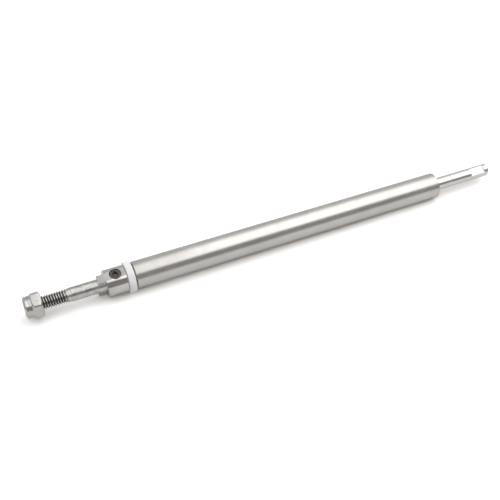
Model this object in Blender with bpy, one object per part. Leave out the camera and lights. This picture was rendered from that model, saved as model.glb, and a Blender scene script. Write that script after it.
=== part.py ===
"""Drive shaft of a model boat, running in its support tube.

The shaft lies along X. The end that carries the propeller, with the thread and the lock nut,
points towards -X, and the end that the motor coupling grips, with a flat, towards +X. The
origin is the middle of the whole assembly, on the shaft's axis, and Z is up. The numbers
below are millimetres or degrees, and MM turns lengths into metres.
"""

import math

import bmesh
import bpy
from mathutils import Matrix, Vector

MM = 0.001
TAU = 2 * math.pi

# Stations along X, from the propeller end to the motor end.
NUT_END = -75.8
SHAFT_FRONT = -75.25
THREAD_END = -63.1
TANG_TIP = -55.5
DOG_BACK = -47.35
TUBE_FRONT = -44.9
TUBE_BACK = 55.1
GROOVE_MIDDLE = 61.35
FLAT_START = 68.8
FLAT_END = 73.8
SHAFT_BACK = 75.8

# Shaft: 4 mm bar with an M4 thread, cut as a right-hand helix.
SHAFT_RADIUS = 2.0
THREAD_RADIUS = 1.98
THREAD_DEPTH = 0.4
THREAD_PITCH = 0.7
THREAD_RUNOUT = 1.7
THREAD_RINGS_PER_TURN = 5
FRONT_CHAMFER = 0.4
SHOULDER_CHAMFER = 0.15
GROOVE_WIDTH = 0.6
GROOVE_DEPTH = 0.15
FLAT_HEIGHT = 1.6
BACK_CHAMFER = 0.5

# Support tube: 8 mm outside, 7 mm inside, 100 mm long.
TUBE_RADIUS = 4.0
TUBE_WALL = 0.5
TUBE_CHAMFER = 0.1
BEARING_RECESS = 0.3
BEARING_LENGTH = 8.0
SEAL_SECTION_RADIUS = 0.4
SEAL_POCKET_DEPTH = 0.9

# Thrust washer between the drive dog and the tube, with the shaft's end play beside the tube.
WASHER_RADIUS = 4.5
WASHER_CHAMFER = 0.15
END_PLAY = 0.4

# Drive dog: a collar whose front end is cut back to one tang across the shaft. A flat is
# milled along it on the side that takes the screw.
DOG_RADIUS = 3.92
DOG_CHAMFER = 0.2
DOG_FLAT_HEIGHT = 3.7
TANG_HEIGHT = 2.25
TANG_WIDTH = 2.0
SCREW_STATION = -50.3
SCREW_RADIUS = 1.65
SCREW_TOP = 3.55
SOCKET_ACROSS_FLATS = 1.5
SOCKET_DEPTH = 1.0

# Lock nut: M4, nominally 7 mm across the flats, with a crimped collar round a nylon ring.
NUT_LENGTH = 4.8
NUT_ACROSS_FLATS = 6.8
COLLAR_RADIUS = 3.1
COLLAR_LENGTH = 1.55
HEXAGON_START = 2.6
INSERT_RADIUS = 2.6
INSERT_START = 0.4
INSERT_END = 1.6

# Turns about X, as degrees above the horizon on the -Y side.
DOG_ANGLE = 75.7
FLAT_ANGLE = 57.2
NUT_CORNER_ANGLE = 38.7

# Gaps between the pieces.
FIXED_GAP = 0.03
RUNNING_GAP = 0.04
FACE_GAP = 0.05

# Facets round each piece.
TUBE_SIDES = 48
SHAFT_SIDES = 24
SMALL_SIDES = 16

# Colour, roughness and metallic value of each material.
STEEL = (0.66, 0.65, 0.62)
MATERIALS = {
    "brushed_tube": (STEEL, 0.32, 1.0),
    "ground_shaft": ((0.7, 0.69, 0.67), 0.2, 1.0),
    "turned_dog": ((0.64, 0.63, 0.61), 0.28, 1.0),
    "plated_nut": ((0.68, 0.68, 0.68), 0.25, 1.0),
    "black_screw": ((0.02, 0.02, 0.022), 0.4, 0.6),
    "white_washer": ((0.82, 0.83, 0.86), 0.45, 0.0),
    "nylon_insert": ((0.75, 0.76, 0.74), 0.5, 0.0),
    "bronze_bearing": ((0.55, 0.36, 0.16), 0.45, 1.0),
    "rubber_seal": ((0.03, 0.03, 0.03), 0.7, 0.0),
}


def material(name):
    """The named material, made the first time that a piece asks for it."""
    found = bpy.data.materials.get(name)
    if found:
        return found
    colour, roughness, metallic = MATERIALS[name]
    made = bpy.data.materials.new(name)
    made.use_nodes = True
    shader = made.node_tree.nodes["Principled BSDF"]
    shader.inputs["Base Color"].default_value = (*colour, 1.0)
    shader.inputs["Roughness"].default_value = roughness
    shader.inputs["Metallic"].default_value = metallic
    return made


def around(radius, gap, sides):
    """Corner radius of a faceted bore whose flats still clear a pin of the given radius."""
    return (radius + gap) / math.cos(math.pi / sides)


def tilt(angle):
    """The turn about X that carries a piece's own +Z to the given angle."""
    return math.radians(90 - angle)


def ring(form, x, radii):
    """One loop of points about X, or a single point where the radius is 0."""
    if radii[0] == 0:
        return [form.verts.new((x * MM, 0, 0))]
    points = []
    for step, radius in enumerate(radii):
        turn = TAU * step / len(radii)
        y = radius * math.cos(turn)
        z = radius * math.sin(turn)
        points.append(form.verts.new((x * MM, y * MM, z * MM)))
    return points


def skin(form, first, second):
    """The faces between two neighbouring loops."""
    count = max(len(first), len(second))
    for step in range(count):
        after = (step + 1) % count
        if len(first) == 1:
            form.faces.new((first[0], second[step], second[after]))
        elif len(second) == 1:
            form.faces.new((first[step], second[0], first[after]))
        else:
            form.faces.new((first[step], second[step], second[after], first[after]))


def finish(form, name, material_name):
    """Turns the faces outwards and makes the object."""
    bmesh.ops.recalc_face_normals(form, faces=form.faces)
    mesh = bpy.data.meshes.new(name)
    form.to_mesh(mesh)
    form.free()
    mesh.shade_smooth()
    mesh.set_sharp_from_angle(angle=math.radians(30))
    piece = bpy.data.objects.new(name, mesh)
    bpy.context.scene.collection.objects.link(piece)
    if material_name:
        mesh.materials.append(material(material_name))
    return piece


def turned(name, profile, material_name, sides, bored=False):
    """A solid turned about X from (x, radius) points; a bored one joins its last and first."""
    form = bmesh.new()
    loops = [ring(form, x, [radius] * sides) for x, radius in profile]
    for first, second in zip(loops, loops[1:]):
        skin(form, first, second)
    if bored:
        skin(form, loops[-1], loops[0])
    return finish(form, name, material_name)


def block(name, low, high):
    """A box between two corners, used as a cutter."""
    size = Vector(high) - Vector(low)
    middle = (Vector(high) + Vector(low)) / 2
    scale = Matrix.Diagonal((*(size * MM), 1))
    form = bmesh.new()
    bmesh.ops.create_cube(form, size=1, matrix=Matrix.Translation(middle * MM) @ scale)
    return finish(form, name, None)


def prism(name, radius, low, high, sides, across=False):
    """A straight prism from low to high, along Z or, with across, along X; a cutter."""
    form = bmesh.new()
    depth = (high - low) * MM
    place = Matrix.Translation((0, 0, (low + high) / 2 * MM))
    if across:
        place = Matrix.Rotation(math.pi / 2, 4, "Y") @ place
    bmesh.ops.create_cone(
        form,
        cap_ends=True,
        segments=sides,
        radius1=radius * MM,
        radius2=radius * MM,
        depth=depth,
        matrix=place,
    )
    return finish(form, name, None)


def carve(piece, cutter, operation="DIFFERENCE"):
    """Cuts a piece with another, which is then hidden."""
    cut = piece.modifiers.new(cutter.name, "BOOLEAN")
    cut.operation = operation
    cut.solver = "EXACT"
    cut.object = cutter
    cutter.hide_render = True
    cutter.display_type = "WIRE"


def place(piece, station, turn=0.0):
    """Puts a piece's own origin on the shaft's axis."""
    piece.location.x = station * MM
    piece.rotation_euler.x = turn


def thread_radius(x, turn):
    """Radius of the thread's surface: a rounded V that fades out towards the shoulder."""
    fade = min(1.0, (THREAD_END - x) / THREAD_RUNOUT)
    wave = 0.5 - 0.5 * math.cos(TAU * x / THREAD_PITCH - turn)
    chamfer = THREAD_RADIUS - FRONT_CHAMFER + (x - SHAFT_FRONT)
    return min(THREAD_RADIUS - THREAD_DEPTH * wave * fade, chamfer)


def drive_shaft():
    """One bar from the thread's tip to the chamfered motor end."""
    form = bmesh.new()
    step = THREAD_PITCH / THREAD_RINGS_PER_TURN
    count = int((THREAD_END - SHAFT_FRONT) / step)
    loops = [ring(form, SHAFT_FRONT, [0])]
    for index in range(count + 1):
        x = SHAFT_FRONT + index * step
        turns = [TAU * side / SHAFT_SIDES for side in range(SHAFT_SIDES)]
        loops.append(ring(form, x, [thread_radius(x, turn) for turn in turns]))
    groove_front = GROOVE_MIDDLE - GROOVE_WIDTH / 2
    groove_back = GROOVE_MIDDLE + GROOVE_WIDTH / 2
    plain = [
        (THREAD_END, THREAD_RADIUS),
        (THREAD_END, SHAFT_RADIUS - SHOULDER_CHAMFER),
        (THREAD_END + SHOULDER_CHAMFER, SHAFT_RADIUS),
        (groove_front, SHAFT_RADIUS),
        (GROOVE_MIDDLE, SHAFT_RADIUS - GROOVE_DEPTH),
        (groove_back, SHAFT_RADIUS),
        (SHAFT_BACK - BACK_CHAMFER, SHAFT_RADIUS),
        (SHAFT_BACK, SHAFT_RADIUS - BACK_CHAMFER),
        (SHAFT_BACK, 0),
    ]
    for x, radius in plain:
        loops.append(ring(form, x, [radius] * SHAFT_SIDES))
    for first, second in zip(loops, loops[1:]):
        skin(form, first, second)
    shaft = finish(form, "drive_shaft", "ground_shaft")
    reach = 2 * SHAFT_RADIUS
    cutter = block("flat_cutter", (FLAT_START, -reach, FLAT_HEIGHT), (FLAT_END, reach, reach))
    place(cutter, 0, tilt(FLAT_ANGLE))
    carve(shaft, cutter)


def support_tube():
    """Plain tube with lightly broken edges."""
    inner = TUBE_RADIUS - TUBE_WALL
    length = TUBE_BACK - TUBE_FRONT
    profile = [
        (0, inner + TUBE_CHAMFER),
        (0, TUBE_RADIUS - TUBE_CHAMFER),
        (TUBE_CHAMFER, TUBE_RADIUS),
        (length - TUBE_CHAMFER, TUBE_RADIUS),
        (length, TUBE_RADIUS - TUBE_CHAMFER),
        (length, inner + TUBE_CHAMFER),
        (length - TUBE_CHAMFER, inner),
        (TUBE_CHAMFER, inner),
    ]
    place(turned("support_tube", profile, "brushed_tube", TUBE_SIDES, bored=True), TUBE_FRONT)


def bearings():
    """A plain bush in each end of the tube; the motor-side one has a pocket for the seal."""
    outer = TUBE_RADIUS - TUBE_WALL - FIXED_GAP
    bore = around(SHAFT_RADIUS, RUNNING_GAP, TUBE_SIDES)
    front = [
        (0, bore),
        (0, outer),
        (BEARING_LENGTH, outer),
        (BEARING_LENGTH, bore),
    ]
    name = "front_bearing"
    place(
        turned(name, front, "bronze_bearing", TUBE_SIDES, bored=True),
        TUBE_FRONT + BEARING_RECESS,
    )
    pocket = bore + 2 * SEAL_SECTION_RADIUS + FACE_GAP
    back = [
        (0, pocket),
        (0, outer),
        (BEARING_LENGTH, outer),
        (BEARING_LENGTH, bore),
        (SEAL_POCKET_DEPTH, bore),
        (SEAL_POCKET_DEPTH, pocket),
    ]
    name = "rear_bearing"
    start = TUBE_BACK - BEARING_RECESS - BEARING_LENGTH
    place(turned(name, back, "bronze_bearing", TUBE_SIDES, bored=True), start)


def shaft_seal():
    """Round-section ring in the rear bearing's pocket."""
    middle = around(SHAFT_RADIUS, RUNNING_GAP, TUBE_SIDES) + SEAL_SECTION_RADIUS
    profile = []
    corners = 8
    for step in range(corners):
        turn = TAU * (step + 0.5) / corners
        x = SEAL_SECTION_RADIUS * math.cos(turn)
        profile.append((x, middle + SEAL_SECTION_RADIUS * math.sin(turn)))
    start = TUBE_BACK - BEARING_RECESS - BEARING_LENGTH
    seal = turned("shaft_seal", profile, "rubber_seal", TUBE_SIDES, bored=True)
    place(seal, start + SEAL_SECTION_RADIUS)


def thrust_washer():
    """Plastic ring between the drive dog and the tube's end."""
    bore = around(SHAFT_RADIUS, RUNNING_GAP, TUBE_SIDES)
    length = TUBE_FRONT - DOG_BACK - FACE_GAP - END_PLAY
    profile = [
        (0, bore),
        (0, WASHER_RADIUS - WASHER_CHAMFER),
        (WASHER_CHAMFER, WASHER_RADIUS),
        (length - WASHER_CHAMFER, WASHER_RADIUS),
        (length, WASHER_RADIUS - WASHER_CHAMFER),
        (length, bore),
    ]
    washer = turned("thrust_washer", profile, "white_washer", TUBE_SIDES, bored=True)
    place(washer, DOG_BACK + FACE_GAP)


def drive_dog():
    """Collar on the shaft: the tang drives the propeller, and a radial screw holds it."""
    bore = around(SHAFT_RADIUS, FIXED_GAP, TUBE_SIDES)
    length = DOG_BACK - TANG_TIP
    profile = [
        (0, bore),
        (0, DOG_RADIUS - DOG_CHAMFER),
        (DOG_CHAMFER, DOG_RADIUS),
        (length - DOG_CHAMFER, DOG_RADIUS),
        (length, DOG_RADIUS - DOG_CHAMFER),
        (length, bore),
    ]
    dog = turned("drive_dog", profile, "turned_dog", TUBE_SIDES, bored=True)
    place(dog, TANG_TIP, tilt(DOG_ANGLE))
    reach = 2 * DOG_RADIUS
    for side in (-1, 1):
        near = side * TANG_WIDTH / 2
        far = side * reach
        low = (-1, min(near, far), -reach)
        cutter = block(f"tang_cutter_{side}", low, (TANG_HEIGHT, max(near, far), reach))
        place(cutter, TANG_TIP, tilt(DOG_ANGLE))
        carve(dog, cutter)
    flat = block("dog_flat_cutter", (-1, -reach, DOG_FLAT_HEIGHT), (length + 1, reach, reach))
    place(flat, TANG_TIP, tilt(DOG_ANGLE))
    carve(dog, flat)
    hole = prism("screw_hole", SCREW_RADIUS + FACE_GAP, 0, reach, SMALL_SIDES)
    place(hole, SCREW_STATION, tilt(DOG_ANGLE))
    carve(dog, hole)


def dog_set_screw():
    """Headless screw with a hexagon socket, standing on the shaft."""
    bottom = SHAFT_RADIUS + FACE_GAP
    screw = prism("dog_set_screw", SCREW_RADIUS, bottom, SCREW_TOP, SMALL_SIDES)
    screw.data.materials.append(material("black_screw"))
    place(screw, SCREW_STATION, tilt(DOG_ANGLE))
    corner = SOCKET_ACROSS_FLATS / 2 / math.cos(math.pi / 6)
    socket = prism("socket_cutter", corner, SCREW_TOP - SOCKET_DEPTH, 2 * SCREW_TOP, 6)
    place(socket, SCREW_STATION, tilt(DOG_ANGLE))
    carve(screw, socket)


def lock_nut():
    """Hexagon with chamfered corners, a washer face inside and a crimped collar outside."""
    bore = around(THREAD_RADIUS, RUNNING_GAP, TUBE_SIDES)
    pocket = INSERT_RADIUS + FACE_GAP
    flat = NUT_ACROSS_FLATS / 2
    corner = flat / math.cos(math.pi / 6)
    slope = math.tan(math.radians(30))
    rise = (corner - flat) * slope
    washer_face = 0.2
    lip = 0.3
    profile = [
        (0, INSERT_RADIUS - lip),
        (0, COLLAR_RADIUS - 2 * lip),
        (0.5 * lip, COLLAR_RADIUS - lip),
        (1.5 * lip, COLLAR_RADIUS),
        (COLLAR_LENGTH, COLLAR_RADIUS),
        (HEXAGON_START, corner + rise),
        (NUT_LENGTH - washer_face - 2 * rise, corner + rise),
        (NUT_LENGTH - washer_face, flat),
        (NUT_LENGTH - washer_face, COLLAR_RADIUS),
        (NUT_LENGTH, COLLAR_RADIUS - washer_face),
        (NUT_LENGTH, bore + lip),
        (NUT_LENGTH - lip, bore),
        (INSERT_END + FACE_GAP, bore),
        (INSERT_END + FACE_GAP, pocket),
        (lip, pocket),
        (lip, INSERT_RADIUS - lip),
    ]
    nut = turned("lock_nut", profile, "plated_nut", TUBE_SIDES, bored=True)
    hexagon = prism("hexagon", corner, -1, NUT_LENGTH + 1, 6, across=True)
    turn = math.radians(180 - NUT_CORNER_ANGLE)
    place(nut, NUT_END, turn)
    place(hexagon, NUT_END, turn)
    carve(nut, hexagon, "INTERSECT")


def lock_nut_insert():
    """Nylon ring held in the nut's collar."""
    bore = around(THREAD_RADIUS, RUNNING_GAP, TUBE_SIDES)
    profile = [
        (INSERT_START, bore),
        (INSERT_START, INSERT_RADIUS),
        (INSERT_END, INSERT_RADIUS),
        (INSERT_END, bore),
    ]
    insert = turned("lock_nut_insert", profile, "nylon_insert", TUBE_SIDES, bored=True)
    place(insert, NUT_END)


for old in list(bpy.data.objects):
    bpy.data.objects.remove(old)
drive_shaft()
support_tube()
bearings()
shaft_seal()
thrust_washer()
drive_dog()
dog_set_screw()
lock_nut()
lock_nut_insert()
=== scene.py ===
"""Looks of a model boat's drive shaft in its support tube: fine surfaces, materials, light, camera."""

import math

import bmesh
import bpy
from mathutils import Matrix, Vector


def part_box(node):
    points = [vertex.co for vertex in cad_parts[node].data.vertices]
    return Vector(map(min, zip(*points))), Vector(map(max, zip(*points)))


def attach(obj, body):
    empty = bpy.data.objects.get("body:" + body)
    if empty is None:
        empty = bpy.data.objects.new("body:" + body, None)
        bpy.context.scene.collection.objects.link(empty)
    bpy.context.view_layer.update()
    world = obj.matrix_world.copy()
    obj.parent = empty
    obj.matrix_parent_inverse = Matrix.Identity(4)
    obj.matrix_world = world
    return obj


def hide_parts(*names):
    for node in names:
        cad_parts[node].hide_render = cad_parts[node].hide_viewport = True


MM = 0.001
TAU = 2 * math.pi

# Facets round each turned piece, rings in each turn of the thread, steps in a rounded corner,
# and the angle above which an edge is shaded sharp.
SIDES = 192
SHAFT_SIDES = 128
THREAD_RINGS = 20
CORNER_STEPS = 4
SHARP_ANGLE = 35

# Clearances in millimetres: in running fits, in fixed fits, and round the washer and screw.
RUNNING_GAP = 0.04
FIXED_GAP = 0.03
LOOSE_GAP = 0.05

# Shaft, in millimetres. A thread's crest and flank are shares of its pitch.
SHAFT_RADIUS = 2.0
THREAD_RADIUS = 1.98
THREAD_DEPTH = 0.42
THREAD_PITCH = 0.7
THREAD_LENGTH = 12.15
THREAD_RUNOUT = 1.8
THREAD_CREST = 0.1
THREAD_FLANK = 0.28
FRONT_CHAMFER = 0.5
GROOVE_FROM_BACK = 14.45
GROOVE_HALF_WIDTH = 0.3
GROOVE_DEPTH = 0.15
FLAT_FROM_BACK = (7.0, 2.0)
FLAT_HEIGHT = 1.6
BACK_CHAMFER = 0.6

# Tube wall, and the pocket for the seal in the rear bush.
TUBE_WALL = 0.5
POCKET_DEPTH = 0.9
POCKET_WIDTH = 0.85

# Drive dog and its screw.
TANG_HEIGHT = 2.25
TANG_WIDTH = 2.0
DOG_FLAT_HEIGHT = 3.7
SCREW_FROM_DOG_BACK = 2.95
SCREW_RADIUS = 1.65
SCREW_TOP = 3.55
SOCKET_ACROSS_FLATS = 1.5
SOCKET_DEPTH = 0.7
DRILL_DEPTH = 0.6

# Lock nut.
NUT_ACROSS_FLATS = 6.8
COLLAR_RADIUS = 3.1
COLLAR_LENGTH = 1.95
HEXAGON_START = 2.85
HEXAGON_ROUNDING = 0.9
CRIMP_DEPTH = 0.13
WASHER_FACE = 0.2
INSERT_RADIUS = 2.6
INSERT_COVER = 0.32
INSERT_POCKET_END = 1.65

# Turns about the shaft's axis, as degrees above the horizon on the -Y side.
DOG_ANGLE = 75.7
FLAT_ANGLE = 57.2
NUT_CORNER_ANGLE = 38.7

# Light: how bright the softbox, the table and the room are, and the sizes in metres.
SOFTBOX_LOW = (-1.0, -0.62, 0.5)
SOFTBOX_HIGH = (1.5, 0.8, 0.5)
SOFTBOX_STRENGTH = 1.75
FLOOR_REACH = 3.0
FLOOR_SEEN = 1.44
FLOOR_IN_STEEL = 0.78
ROOM_FRONT = (0.26, 0.25, 0.24)
ROOM_BACK = (0.55, 0.55, 0.55)

# Camera: degrees, millimetres of lens and sensor, and metres from the point it looks at. That
# point is a station on the axis in millimetres, moved right and up in the picture.
CAMERA_AZIMUTH = -24.51
CAMERA_ELEVATION = 42.1
CAMERA_LENS = 57.6
CAMERA_SENSOR = 36
CAMERA_DISTANCE = 0.2356
CAMERA_STATION = -9.96
CAMERA_SHIFT = (0.825, -2.59)

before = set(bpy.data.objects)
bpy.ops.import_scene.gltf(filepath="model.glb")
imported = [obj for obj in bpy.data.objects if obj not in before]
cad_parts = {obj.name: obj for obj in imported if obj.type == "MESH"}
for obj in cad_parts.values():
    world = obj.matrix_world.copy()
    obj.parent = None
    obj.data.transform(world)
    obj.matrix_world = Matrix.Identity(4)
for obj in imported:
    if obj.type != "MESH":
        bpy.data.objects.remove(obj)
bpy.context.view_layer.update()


def span(node):
    """Where a CAD node starts and ends along X, and its outer radius, in millimetres."""
    low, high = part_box(node)
    return low.x / MM, high.x / MM, max(high.y, high.z) / MM


# ---------------------------------------------------------------- shapes


def rounded(points, closed):
    """A profile of (x, radius, rounding) points, with each corner drawn as a small arc."""
    outline = []
    count = len(points)
    for index, (x, radius, rounding) in enumerate(points):
        corner = Vector((x, radius))
        if rounding == 0 or (not closed and index in (0, count - 1)):
            outline.append(corner)
            continue
        before = Vector(points[index - 1][:2])
        after = Vector(points[(index + 1) % count][:2])
        start = corner + (before - corner).normalized() * rounding
        end = corner + (after - corner).normalized() * rounding
        for step in range(CORNER_STEPS + 1):
            t = step / CORNER_STEPS
            outline.append(start.lerp(corner, t).lerp(corner.lerp(end, t), t))
    return outline


def loop(form, x, radii):
    """One ring of points about X, or one point where the radius is 0."""
    if max(radii) == 0:
        return [form.verts.new((x * MM, 0, 0))]
    ring = []
    for step, radius in enumerate(radii):
        turn = TAU * step / len(radii)
        y = radius * math.cos(turn)
        z = radius * math.sin(turn)
        ring.append(form.verts.new((x * MM, y * MM, z * MM)))
    return ring


def skin(form, first, second):
    """The faces between two rings."""
    count = max(len(first), len(second))
    for step in range(count):
        after = (step + 1) % count
        if len(first) == 1:
            form.faces.new((first[0], second[step], second[after]))
        elif len(second) == 1:
            form.faces.new((first[step], second[0], first[after]))
        else:
            form.faces.new((first[step], second[step], second[after], first[after]))


def made(form, name):
    """The object that a finished form makes, smooth except at its sharp edges."""
    bmesh.ops.recalc_face_normals(form, faces=form.faces)
    mesh = bpy.data.meshes.new(name)
    form.to_mesh(mesh)
    form.free()
    mesh.shade_smooth()
    mesh.set_sharp_from_angle(angle=math.radians(SHARP_ANGLE))
    piece = bpy.data.objects.new(name, mesh)
    bpy.context.scene.collection.objects.link(piece)
    return piece


def turned(name, points, start):
    """A bored solid turned about X from a closed, rounded profile that begins at start."""
    form = bmesh.new()
    outline = rounded(points, True)
    rings = [loop(form, start + point.x, [point.y] * SIDES) for point in outline]
    for first, second in zip(rings, rings[1:]):
        skin(form, first, second)
    skin(form, rings[-1], rings[0])
    return made(form, name)


def turn_to(angle):
    """The turn about X that carries +Z to an angle above the horizon on the -Y side."""
    return Matrix.Rotation(math.radians(90 - angle), 4, "X")


def block(low, high, turn):
    """A cutter with flat sides."""
    size = Vector(high) - Vector(low)
    middle = (Vector(high) + Vector(low)) / 2
    form = bmesh.new()
    scale = Matrix.Diagonal((*(size * MM), 1))
    bmesh.ops.create_cube(form, size=1, matrix=turn @ Matrix.Translation(middle * MM) @ scale)
    return made(form, "cutter")


def prism(bottom, top, ends, sides, place):
    """A cutter that stands along its own Z, with a radius at each end."""
    form = bmesh.new()
    low, high = ends
    bmesh.ops.create_cone(
        form,
        cap_ends=True,
        segments=sides,
        radius1=bottom * MM,
        radius2=top * MM,
        depth=(high - low) * MM,
        matrix=place @ Matrix.Translation((0, 0, (low + high) / 2 * MM)),
    )
    return made(form, "cutter")


def settle(piece, sharp=SHARP_ANGLE):
    """Applies a piece's modifiers to its mesh."""
    bpy.context.view_layer.update()
    graph = bpy.context.evaluated_depsgraph_get()
    mesh = bpy.data.meshes.new_from_object(piece.evaluated_get(graph))
    piece.modifiers.clear()
    piece.data = mesh
    mesh.shade_smooth()
    mesh.set_sharp_from_angle(angle=math.radians(sharp))


def carve(piece, cutter, operation="DIFFERENCE"):
    """Cuts a piece with a cutter, which is then thrown away."""
    cut = piece.modifiers.new("cut", "BOOLEAN")
    cut.operation = operation
    cut.solver = "EXACT"
    cut.object = cutter
    settle(piece)
    bpy.data.objects.remove(cutter)


def ease(piece, width):
    """Breaks a piece's sharp edges."""
    bevel = piece.modifiers.new("ease", "BEVEL")
    bevel.width = width * MM
    bevel.segments = 2
    bevel.limit_method = "ANGLE"
    bevel.angle_limit = math.radians(SHARP_ANGLE)
    settle(piece, 50)


# ---------------------------------------------------------------- materials


class Nodes:
    """A material's nodes, added one by one."""

    def __init__(self, name, **shader):
        self.material = bpy.data.materials.new(name)
        self.material.use_nodes = True
        self.tree = self.material.node_tree
        self.shader = self.tree.nodes["Principled BSDF"]
        for socket, value in shader.items():
            self.shader.inputs[socket.replace("_", " ")].default_value = value

    def add(self, kind, **values):
        """A new node of this kind, with these values set on it."""
        node = self.tree.nodes.new("ShaderNode" + kind)
        for key, value in values.items():
            setattr(node, key, value)
        return node

    def link(self, source, target):
        """Joins two sockets."""
        self.tree.links.new(source, target)

    def place(self, scale):
        """Object coordinates, stretched."""
        coordinates = self.add("TexCoord")
        mapping = self.add("Mapping")
        mapping.inputs["Scale"].default_value = scale
        self.link(coordinates.outputs["Object"], mapping.inputs["Vector"])
        return mapping.outputs["Vector"]

    def noise(self, scale, detail=4.0):
        """Noise in object coordinates, with this many grains in a metre along each axis."""
        texture = self.add("TexNoise")
        texture.inputs["Scale"].default_value = 1.0
        texture.inputs["Detail"].default_value = detail
        texture.inputs["Roughness"].default_value = 0.6
        self.link(self.place(scale), texture.inputs["Vector"])
        return texture.outputs["Fac"]

    def ramp(self, source, stops):
        """A colour from a value, through stops of a position and a colour."""
        node = self.add("ValToRGB")
        elements = node.color_ramp.elements
        while len(elements) < len(stops):
            elements.new(0.5)
        for element, (position, colour) in zip(elements, stops):
            element.position = position
            element.color = (*colour, 1.0)
        self.link(source, node.inputs["Fac"])
        return node.outputs["Color"]

    def spread(self, source, low, high, start=0.3, end=0.7):
        """Turns a value between start and end into one between low and high."""
        node = self.add("MapRange")
        node.inputs["From Min"].default_value = start
        node.inputs["From Max"].default_value = end
        node.inputs["To Min"].default_value = low
        node.inputs["To Max"].default_value = high
        self.link(source, node.inputs["Value"])
        return node.outputs["Result"]

    def bump(self, height, distance, under=None):
        """A bump from a height, on top of another bump where one is given."""
        node = self.add("Bump")
        if under:
            self.link(under, node.inputs["Normal"])
        node.inputs["Distance"].default_value = distance
        node.inputs["Strength"].default_value = 1.0
        self.link(height, node.inputs["Height"])
        return node.outputs["Normal"]


def grey(value, warmth=0.0):
    """A grey that leans towards straw by warmth."""
    return (value * (1 + warmth), value, value * (1 - 1.6 * warmth))


def turned_steel(name, tone, warmth, smooth, rough, lines, depth, anisotropy):
    """The nodes of a steel with fine tool lines round X."""
    nodes = Nodes(name, Metallic=1.0, Anisotropic=anisotropy)
    tangent = nodes.add("Tangent", direction_type="RADIAL", axis="X")
    nodes.link(tangent.outputs["Tangent"], nodes.shader.inputs["Tangent"])
    rings = nodes.noise((lines, 60, 60), detail=3.0)
    cloud = nodes.noise((140, 180, 180), detail=4.0)
    nodes.link(nodes.spread(rings, smooth, rough), nodes.shader.inputs["Roughness"])
    dark = grey(tone * 0.93, warmth * 1.3)
    bright = grey(tone * 1.04, warmth)
    colour = nodes.ramp(cloud, [(0.32, dark), (0.62, bright)])
    nodes.link(colour, nodes.shader.inputs["Base Color"])
    nodes.link(nodes.bump(rings, depth * MM), nodes.shader.inputs["Normal"])
    return nodes


def dog_steel():
    """Turned steel, with the duller finish that milling leaves on the flat."""
    nodes = turned_steel("dog_steel", 0.66, 0.02, 0.1, 0.15, 5000, 0.0008, 0.3)
    turn = math.radians(90 - DOG_ANGLE)
    coordinates = nodes.add("TexCoord")
    height = nodes.add("VectorMath", operation="DOT_PRODUCT")
    height.inputs[1].default_value = (0, -math.sin(turn), math.cos(turn))
    nodes.link(coordinates.outputs["Object"], height.inputs[0])
    low = (DOG_FLAT_HEIGHT - 0.06) * MM
    high = (DOG_FLAT_HEIGHT - 0.02) * MM
    flat = nodes.spread(height.outputs["Value"], 0, 1, low, high)
    milled = (*grey(0.46), 1)
    for socket in (nodes.shader.inputs["Base Color"], nodes.shader.inputs["Roughness"]):
        mix = nodes.add("Mix", data_type="RGBA")
        mix.inputs["B"].default_value = milled
        nodes.link(socket.links[0].from_socket, mix.inputs["A"])
        nodes.link(flat, mix.inputs["Factor"])
        nodes.link(mix.outputs["Result"], socket)
    return nodes.material


def nut_steel():
    """Bright plating over a rolled surface that is not quite even."""
    nodes = Nodes("nut_steel", Metallic=1.0)
    grain = nodes.noise((2500, 2500, 2500), detail=3.0)
    rolled = nodes.noise((500, 1100, 1100), detail=2.0)
    colour = nodes.ramp(rolled, [(0.35, grey(0.57, 0.01)), (0.6, grey(0.62, 0.01))])
    nodes.link(colour, nodes.shader.inputs["Base Color"])
    nodes.link(nodes.spread(grain, 0.15, 0.22), nodes.shader.inputs["Roughness"])
    uneven = nodes.bump(rolled, 0.03 * MM)
    nodes.link(nodes.bump(grain, 0.0008 * MM, under=uneven), nodes.shader.inputs["Normal"])
    return nodes.material


def plain(name, colour, rough, grain, depth, metallic=0.0, **shader):
    """A plastic, rubber or coated surface with a fine grain and slight wear in its tone."""
    nodes = Nodes(name, Metallic=metallic, **shader)
    fine = nodes.noise((grain, grain, grain), detail=3.0)
    cloud = nodes.noise((260, 260, 260), detail=4.0)
    low = [channel * 0.9 for channel in colour]
    tone = nodes.ramp(cloud, [(0.35, low), (0.6, colour)])
    nodes.link(tone, nodes.shader.inputs["Base Color"])
    nodes.link(nodes.spread(fine, rough - 0.06, rough + 0.08), nodes.shader.inputs["Roughness"])
    nodes.link(nodes.bump(fine, depth * MM), nodes.shader.inputs["Normal"])
    return nodes.material


# ---------------------------------------------------------------- pieces


def thread_radius(x, turn, start, end):
    """Radius of the thread's surface: flat crests, sloped flanks and a fade at its end."""
    phase = (x / THREAD_PITCH - turn / TAU) % 1.0
    off_crest = min(phase, 1 - phase)
    wave = min(1.0, max(0.0, (off_crest - THREAD_CREST) / THREAD_FLANK))
    wave = wave * wave * (3 - 2 * wave)
    fade = min(1.0, (end - x) / THREAD_RUNOUT)
    chamfer = THREAD_RADIUS - FRONT_CHAMFER + (x - start)
    return min(THREAD_RADIUS - THREAD_DEPTH * wave * fade, chamfer)


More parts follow.
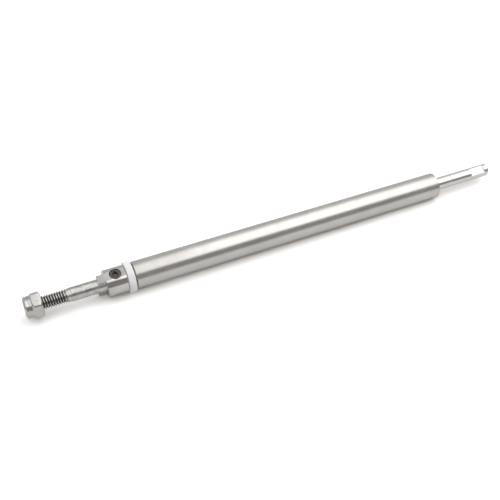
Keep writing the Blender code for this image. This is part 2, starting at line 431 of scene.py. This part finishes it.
def shaft_bar():
    """One bar: thread, stub, the length inside the tube, and the tail with its groove and flat."""
    start, end, _ = span("drive_shaft")
    thread_end = start + THREAD_LENGTH
    form = bmesh.new()
    rings = [loop(form, start, [0])]
    count = int(THREAD_LENGTH / THREAD_PITCH * THREAD_RINGS)
    turns = [TAU * side / SHAFT_SIDES for side in range(SHAFT_SIDES)]
    for index in range(count + 1):
        x = start + THREAD_LENGTH * index / count
        rings.append(loop(form, x, [thread_radius(x, turn, start, thread_end) for turn in turns]))
    groove = end - GROOVE_FROM_BACK
    points = [
        (thread_end, THREAD_RADIUS - 0.01, 0),
        (thread_end, SHAFT_RADIUS, 0.16),
        (groove - GROOVE_HALF_WIDTH, SHAFT_RADIUS, 0.08),
        (groove, SHAFT_RADIUS - GROOVE_DEPTH, 0.08),
        (groove + GROOVE_HALF_WIDTH, SHAFT_RADIUS, 0.08),
        (end - BACK_CHAMFER, SHAFT_RADIUS, 0.12),
        (end, SHAFT_RADIUS - BACK_CHAMFER, 0.12),
        (end, 0, 0),
    ]
    for point in rounded(points, False)[1:]:
        rings.append(loop(form, point.x, [point.y] * SHAFT_SIDES))
    for first, second in zip(rings, rings[1:]):
        skin(form, first, second)
    bar = made(form, "shaft_bar")
    first, second = (end - distance for distance in FLAT_FROM_BACK)
    reach = 2 * SHAFT_RADIUS
    cutter = block((first, -reach, FLAT_HEIGHT), (second, reach, reach), turn_to(FLAT_ANGLE))
    carve(bar, cutter)
    return bar


def tube_shell():
    """Plain tube with softened edges."""
    start, end, radius = span("support_tube")
    length = end - start
    inner = radius - TUBE_WALL
    points = [
        (0, inner, 0.08),
        (0, radius, 0.2),
        (length, radius, 0.14),
        (length, inner, 0.08),
    ]
    return turned("tube_shell", points, start)


def bush(name, node, pocket):
    """Plain bush, with a pocket for the seal in its front if asked for."""
    start, end, radius = span(node)
    length = end - start
    bore = SHAFT_RADIUS + RUNNING_GAP
    points = [
        (0, bore, 0.15),
        (0, radius, 0.3),
        (length, radius, 0.3),
        (length, bore, 0.15),
    ]
    if pocket:
        pocket_radius = bore + POCKET_WIDTH
        points += [(POCKET_DEPTH, bore, 0.05), (POCKET_DEPTH, pocket_radius, 0.05)]
        points[0] = (0, pocket_radius, 0.1)
    return turned(name, points, start)


def seal_ring():
    """Round-section ring."""
    start, end, _ = span("shaft_seal")
    section = (end - start) / 2
    middle = SHAFT_RADIUS + RUNNING_GAP + section
    points = []
    corners = 24
    for step in range(corners):
        turn = TAU * step / corners
        points.append((section * math.cos(turn), middle + section * math.sin(turn), 0))
    return turned("seal_ring", points, start + section)


def plastic_washer():
    """Ring with rounded rims."""
    start, end, radius = span("thrust_washer")
    length = end - start
    bore = SHAFT_RADIUS + LOOSE_GAP
    points = [
        (0, bore, 0.1),
        (0, radius, 0.3),
        (length, radius, 0.3),
        (length, bore, 0.1),
    ]
    return turned("plastic_washer", points, start)


def dog_collar():
    """Collar cut back to a tang, with a milled flat and a hole for the screw."""
    start, end, radius = span("drive_dog")
    length = end - start
    bore = SHAFT_RADIUS + FIXED_GAP
    points = [
        (0, bore, 0.15),
        (0, radius, 0.2),
        (length, radius, 0.25),
        (length, bore, 0.1),
    ]
    dog = turned("dog_collar", points, start)
    reach = 2 * radius
    turn = turn_to(DOG_ANGLE)
    for side in (-1, 1):
        near = side * TANG_WIDTH / 2
        far = side * reach
        low = (start - 1, min(near, far), -reach)
        carve(dog, block(low, (start + TANG_HEIGHT, max(near, far), reach), turn))
    carve(dog, block((start - 1, -reach, DOG_FLAT_HEIGHT), (end + 1, reach, reach), turn))
    place = Matrix.Translation((end * MM - SCREW_FROM_DOG_BACK * MM, 0, 0)) @ turn
    hole = SCREW_RADIUS + LOOSE_GAP
    carve(dog, prism(hole, hole, (0, reach), 64, place))
    ease(dog, 0.1)
    return dog


def socket_screw():
    """Headless screw with a countersunk hexagon socket, standing on the shaft."""
    _, dog_end, _ = span("drive_dog")
    bottom = SHAFT_RADIUS + LOOSE_GAP
    top = SCREW_TOP
    form = bmesh.new()
    points = [
        (bottom, 0, 0),
        (bottom, 0.9, 0.1),
        (bottom + 0.7, SCREW_RADIUS, 0.1),
        (top, SCREW_RADIUS, 0.25),
        (top, 0, 0),
    ]
    outline = rounded(points, False)
    rings = [loop(form, point.x, [point.y] * 64) for point in outline]
    for first, second in zip(rings, rings[1:]):
        skin(form, first, second)
    screw = made(form, "socket_screw")
    stand = Matrix.Rotation(-math.pi / 2, 4, "Y")
    place = Matrix.Translation((dog_end * MM - SCREW_FROM_DOG_BACK * MM, 0, 0))
    place = place @ turn_to(DOG_ANGLE)
    screw.data.transform(place @ stand)
    corner = SOCKET_ACROSS_FLATS / 2 / math.cos(math.pi / 6)
    carve(screw, prism(corner, corner, (top - SOCKET_DEPTH, 2 * top), 6, place))
    countersink = (top - DRILL_DEPTH, top + 0.08)
    carve(screw, prism(0.2, corner + 0.3, countersink, 48, place))
    return screw


def hexagon(start, end, flat):
    """A cutter along X with six flats and worn corners, turned as the nut is."""
    side = math.radians(30)
    centre = (flat - HEXAGON_ROUNDING) / math.cos(side)
    edge = math.atan2(HEXAGON_ROUNDING * math.sin(side), flat)
    radii = []
    for step in range(SIDES):
        off_corner = (TAU * step / SIDES + side) % (2 * side) - side
        if abs(off_corner) > edge:
            radii.append(flat / math.cos(side - abs(off_corner)))
            continue
        across = centre * math.sin(off_corner)
        out = math.sqrt(HEXAGON_ROUNDING**2 - across**2)
        radii.append(centre * math.cos(off_corner) + out)
    form = bmesh.new()
    rings = [loop(form, start, [0]), loop(form, start, radii), loop(form, end, radii)]
    rings.append(loop(form, end, [0]))
    for first, second in zip(rings, rings[1:]):
        skin(form, first, second)
    cutter = made(form, "cutter")
    cutter.data.transform(Matrix.Rotation(math.radians(180 - NUT_CORNER_ANGLE), 4, "X"))
    return cutter


def nut_body():
    """Hexagon with a washer face inside, and outside a crimped collar with the ring's pocket."""
    start, end, _ = span("lock_nut")
    length = end - start
    flat = NUT_ACROSS_FLATS / 2
    corner = flat / math.cos(math.pi / 6)
    slope = (corner - flat) * math.tan(math.pi / 6)
    bore = THREAD_RADIUS + RUNNING_GAP
    pocket = INSERT_RADIUS + FIXED_GAP
    face = length - WASHER_FACE
    points = [
        (INSERT_COVER, pocket - 0.3, 0.1),
        (0.0, pocket - 0.18, 0.1),
        (0.0, pocket, 0.15),
        (0.4, COLLAR_RADIUS, 0.2),
        (0.75, COLLAR_RADIUS, 0.1),
        (1.0, COLLAR_RADIUS - CRIMP_DEPTH, 0.12),
        (1.25, COLLAR_RADIUS, 0.1),
        (COLLAR_LENGTH, COLLAR_RADIUS, 0.1),
        (HEXAGON_START, corner + slope, 0.05),
        (face - 2 * slope, corner + slope, 0.05),
        (face, flat, 0),
        (face, COLLAR_RADIUS, 0.03),
        (length, COLLAR_RADIUS - WASHER_FACE, 0.06),
        (length, bore + 0.3, 0.05),
        (length - 0.3, bore, 0.05),
        (INSERT_POCKET_END, bore, 0.05),
        (INSERT_POCKET_END, pocket, 0.05),
        (INSERT_COVER + 0.06, pocket, 0.05),
    ]
    nut = turned("nut_body", points, start)
    carve(nut, hexagon(start - 1, end + 1, flat), "INTERSECT")
    ease(nut, 0.08)
    return nut


def nylon_ring():
    """Ring held in the nut's collar."""
    start, end, _ = span("lock_nut_insert")
    length = end - start
    bore = THREAD_RADIUS + RUNNING_GAP
    outer = INSERT_RADIUS - FIXED_GAP
    points = [
        (0, bore, 0.25),
        (0, outer, 0.15),
        (length, outer, 0.1),
        (length, bore, 0.1),
    ]
    return turned("nylon_ring", points, start)


def fit(piece, node, body, material):
    """Gives a piece its material and its body, and hides the CAD node that it stands for."""
    piece.data.materials.clear()
    piece.data.materials.append(material)
    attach(piece, body)
    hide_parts(node)


def shaft_steel():
    """Ground bar: bright, with faint stains near the thread, and painted shade that darkens the roots
    of the thread.
    """
    nodes = Nodes("shaft_steel", Metallic=1.0)
    rings = nodes.noise((9000, 60, 60), detail=2.0)
    stain = nodes.noise((700, 900, 900), detail=5.0)
    start, _, _ = span("drive_shaft")
    coordinates = nodes.add("TexCoord")
    axes = nodes.add("SeparateXYZ")
    nodes.link(coordinates.outputs["Object"], axes.inputs["Vector"])
    shoulder = start + THREAD_LENGTH
    # The stain fades out behind the dog, and the painted shade in the thread's roots fades out before
    # the shoulder.
    stub_end = span("drive_dog")[0]
    stub = nodes.spread(axes.outputs["X"], 1, 0, stub_end * MM, (stub_end + 6) * MM)
    bright = nodes.ramp(stain, [(0.3, grey(0.74, 0.01)), (0.7, grey(0.8, 0.005))])
    mottled = nodes.ramp(stain, [(0.36, grey(0.52, 0.01)), (0.62, grey(0.7, 0.005))])
    mix = nodes.add("Mix", data_type="RGBA")
    nodes.link(stub, mix.inputs["Factor"])
    nodes.link(bright, mix.inputs["A"])
    nodes.link(mottled, mix.inputs["B"])
    flat = nodes.add("VectorMath", operation="MULTIPLY")
    flat.inputs[1].default_value = (0, 1, 1)
    nodes.link(coordinates.outputs["Object"], flat.inputs[0])
    length = nodes.add("VectorMath", operation="LENGTH")
    nodes.link(flat.outputs["Vector"], length.inputs[0])
    # Painted shade: a mask that is 1 deep in the thread's roots and 0 at its crests, limited to the
    # threaded length.
    crest = THREAD_RADIUS * MM
    root = nodes.spread(length.outputs["Value"], 1, 0, crest - 0.0004, crest - 0.00003)
    thread = nodes.spread(axes.outputs["X"], 1, 0, (shoulder - 1.8) * MM, (shoulder - 0.6) * MM)
    painted_root_shade = nodes.add("Math", operation="MULTIPLY")
    nodes.link(root, painted_root_shade.inputs[0])
    nodes.link(thread, painted_root_shade.inputs[1])
    # Painted shade: the thread's roots are mixed towards near-black, standing in for the shade between
    # the flanks.
    dark = nodes.add("Mix", data_type="RGBA")
    dark.inputs["B"].default_value = (*grey(0.1, 0.08), 1)
    nodes.link(painted_root_shade.outputs["Value"], dark.inputs["Factor"])
    nodes.link(mix.outputs["Result"], dark.inputs["A"])
    nodes.link(dark.outputs["Result"], nodes.shader.inputs["Base Color"])
    rough = nodes.spread(stain, 0.2, 0.26)
    nodes.link(rough, nodes.shader.inputs["Roughness"])
    nodes.link(nodes.bump(rings, 0.0012 * MM), nodes.shader.inputs["Normal"])
    return nodes.material


def pieces():
    """Makes the materials and the pieces, and fits each piece to its CAD node."""
    tube_steel = turned_steel("tube_steel", 0.66, 0.014, 0.22, 0.27, 6000, 0.0004, 0.5).material
    bronze = plain("bronze", (0.5, 0.3, 0.12), 0.4, 9000, 0.006, metallic=1.0)
    black = plain("black_oxide", (0.105, 0.095, 0.088), 0.28, 8000, 0.004, metallic=0.8)
    white = plain("white_plastic", (0.965, 0.985, 1.0), 0.42, 6000, 0.004, Specular_IOR_Level=0.4)
    nylon = plain("nylon", (0.74, 0.76, 0.74), 0.38, 5000, 0.004)
    rubber = plain("rubber", (0.02, 0.02, 0.02), 0.6, 7000, 0.006)
    fit(tube_shell(), "support_tube", "tube", tube_steel)
    fit(bush("front_bush", "front_bearing", False), "front_bearing", "tube", bronze)
    fit(bush("rear_bush", "rear_bearing", True), "rear_bearing", "tube", bronze)
    fit(seal_ring(), "shaft_seal", "tube", rubber)
    fit(plastic_washer(), "thrust_washer", "washer", white)
    fit(shaft_bar(), "drive_shaft", "shaft", shaft_steel())
    fit(dog_collar(), "drive_dog", "shaft", dog_steel())
    fit(socket_screw(), "dog_set_screw", "shaft", black)
    fit(nut_body(), "lock_nut", "nut", nut_steel())
    fit(nylon_ring(), "lock_nut_insert", "insert", nylon)


# ---------------------------------------------------------------- floor, light and camera


def panel(name, corners):
    """A flat four-cornered stage piece."""
    mesh = bpy.data.meshes.new(name)
    mesh.from_pydata(corners, [], [(0, 1, 2, 3)])
    flat = bpy.data.objects.new(name, mesh)
    bpy.context.scene.collection.objects.link(flat)
    return flat


def floor():
    """White table that the washer and the tube's far end lie on."""
    low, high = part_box("thrust_washer")
    washer = Vector(((low.x + high.x) / 2, 0, low.z))
    low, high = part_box("support_tube")
    tube = Vector((high.x, 0, low.z))
    along = (tube - washer).normalized()
    across = Vector((0, 1, 0))
    corners = []
    for a, b in ((-1, -1), (1, -1), (1, 1), (-1, 1)):
        corners.append(washer + (along * a + across * b) * FLOOR_REACH)
    table = panel("floor", corners)
    nodes = Nodes("floor")
    seen = nodes.add("LightPath")
    tone = nodes.add("Mix", data_type="RGBA")
    tone.inputs["A"].default_value = (*grey(FLOOR_IN_STEEL), 1)
    tone.inputs["B"].default_value = (*grey(FLOOR_SEEN), 1)
    nodes.link(seen.outputs["Is Camera Ray"], tone.inputs["Factor"])
    paper = nodes.add("BsdfDiffuse")
    nodes.link(tone.outputs["Result"], paper.inputs["Color"])
    output = nodes.tree.nodes["Material Output"]
    nodes.link(paper.outputs["BSDF"], output.inputs["Surface"])
    table.data.materials.append(nodes.material)


def softbox():
    """Light panel overhead: dimmer over the propeller end, and fading at its front and back."""
    low = Vector(SOFTBOX_LOW)
    high = Vector(SOFTBOX_HIGH)
    corners = [
        (low.x, low.y, low.z),
        (low.x, high.y, low.z),
        (high.x, high.y, low.z),
        (high.x, low.y, low.z),
    ]
    box = panel("softbox", corners)
    box.visible_camera = False
    nodes = Nodes("softbox")
    coordinates = nodes.add("TexCoord")
    axes = nodes.add("SeparateXYZ")
    nodes.link(coordinates.outputs["Object"], axes.inputs["Vector"])
    steps = [
        nodes.spread(axes.outputs["X"], 0.66, 0.93, 0.0, 0.08),
        nodes.spread(axes.outputs["X"], 1.0, 1.02, 0.08, 0.35),
        nodes.spread(axes.outputs["Y"], 0.0, 1.0, -0.58, -0.42),
        nodes.spread(axes.outputs["Y"], 1.0, 0.4, 0.12, 0.5),
    ]
    strength = steps[0]
    for step in steps[1:]:
        product = nodes.add("Math", operation="MULTIPLY")
        nodes.link(strength, product.inputs[0])
        nodes.link(step, product.inputs[1])
        strength = product.outputs["Value"]
    scaled = nodes.add("Math", operation="MULTIPLY")
    scaled.inputs[1].default_value = SOFTBOX_STRENGTH
    nodes.link(strength, scaled.inputs[0])
    glow = nodes.add("Emission")
    glow.inputs["Color"].default_value = (1.0, 0.985, 0.965, 1)
    nodes.link(scaled.outputs["Value"], glow.inputs["Strength"])
    output = nodes.tree.nodes["Material Output"]
    nodes.link(glow.outputs["Emission"], output.inputs["Surface"])
    box.data.materials.append(nodes.material)


def room():
    """Dim surroundings: darker on the camera's side, and plain white where the camera looks."""
    world = bpy.data.worlds.new("studio")
    world.use_nodes = True
    tree = world.node_tree
    background = tree.nodes["Background"]
    coordinates = tree.nodes.new("ShaderNodeTexCoord")
    axes = tree.nodes.new("ShaderNodeSeparateXYZ")
    tree.links.new(coordinates.outputs["Generated"], axes.inputs["Vector"])
    turn = tree.nodes.new("ShaderNodeMapRange")
    turn.inputs["From Min"].default_value = -0.7
    turn.inputs["From Max"].default_value = 0.5
    tree.links.new(axes.outputs["Y"], turn.inputs["Value"])
    sides = tree.nodes.new("ShaderNodeMix")
    sides.data_type = "RGBA"
    sides.inputs["A"].default_value = (*ROOM_FRONT, 1)
    sides.inputs["B"].default_value = (*ROOM_BACK, 1)
    tree.links.new(turn.outputs["Result"], sides.inputs["Factor"])
    path = tree.nodes.new("ShaderNodeLightPath")
    shown = tree.nodes.new("ShaderNodeMix")
    shown.data_type = "RGBA"
    shown.inputs["B"].default_value = (1, 1, 1, 1)
    tree.links.new(path.outputs["Is Camera Ray"], shown.inputs["Factor"])
    tree.links.new(sides.outputs["Result"], shown.inputs["A"])
    tree.links.new(shown.outputs["Result"], background.inputs["Color"])
    bpy.context.scene.world = world


def camera():
    """Camera at the height and side from which the object is seen."""
    azimuth = math.radians(CAMERA_AZIMUTH)
    elevation = math.radians(CAMERA_ELEVATION)
    flat = math.cos(elevation)
    back = Vector((math.sin(azimuth) * flat, -math.cos(azimuth) * flat, math.sin(elevation)))
    right = Vector((math.cos(azimuth), math.sin(azimuth), 0))
    up = back.cross(right)
    shift_right, shift_up = CAMERA_SHIFT
    target = Vector((CAMERA_STATION, 0, 0)) + right * shift_right + up * shift_up
    target = target * MM
    data = bpy.data.cameras.new("camera")
    data.lens = CAMERA_LENS
    data.sensor_width = CAMERA_SENSOR
    data.clip_start = 0.01
    data.clip_end = 20
    view = bpy.data.objects.new("camera", data)
    view.location = target + back * CAMERA_DISTANCE
    view.rotation_mode = "QUATERNION"
    view.rotation_quaternion = (-back).to_track_quat("-Z", "Y")
    bpy.context.scene.collection.objects.link(view)
    bpy.context.scene.camera = view
    bpy.context.scene.view_settings.view_transform = "Standard"


pieces()
floor()
softbox()
room()
camera()
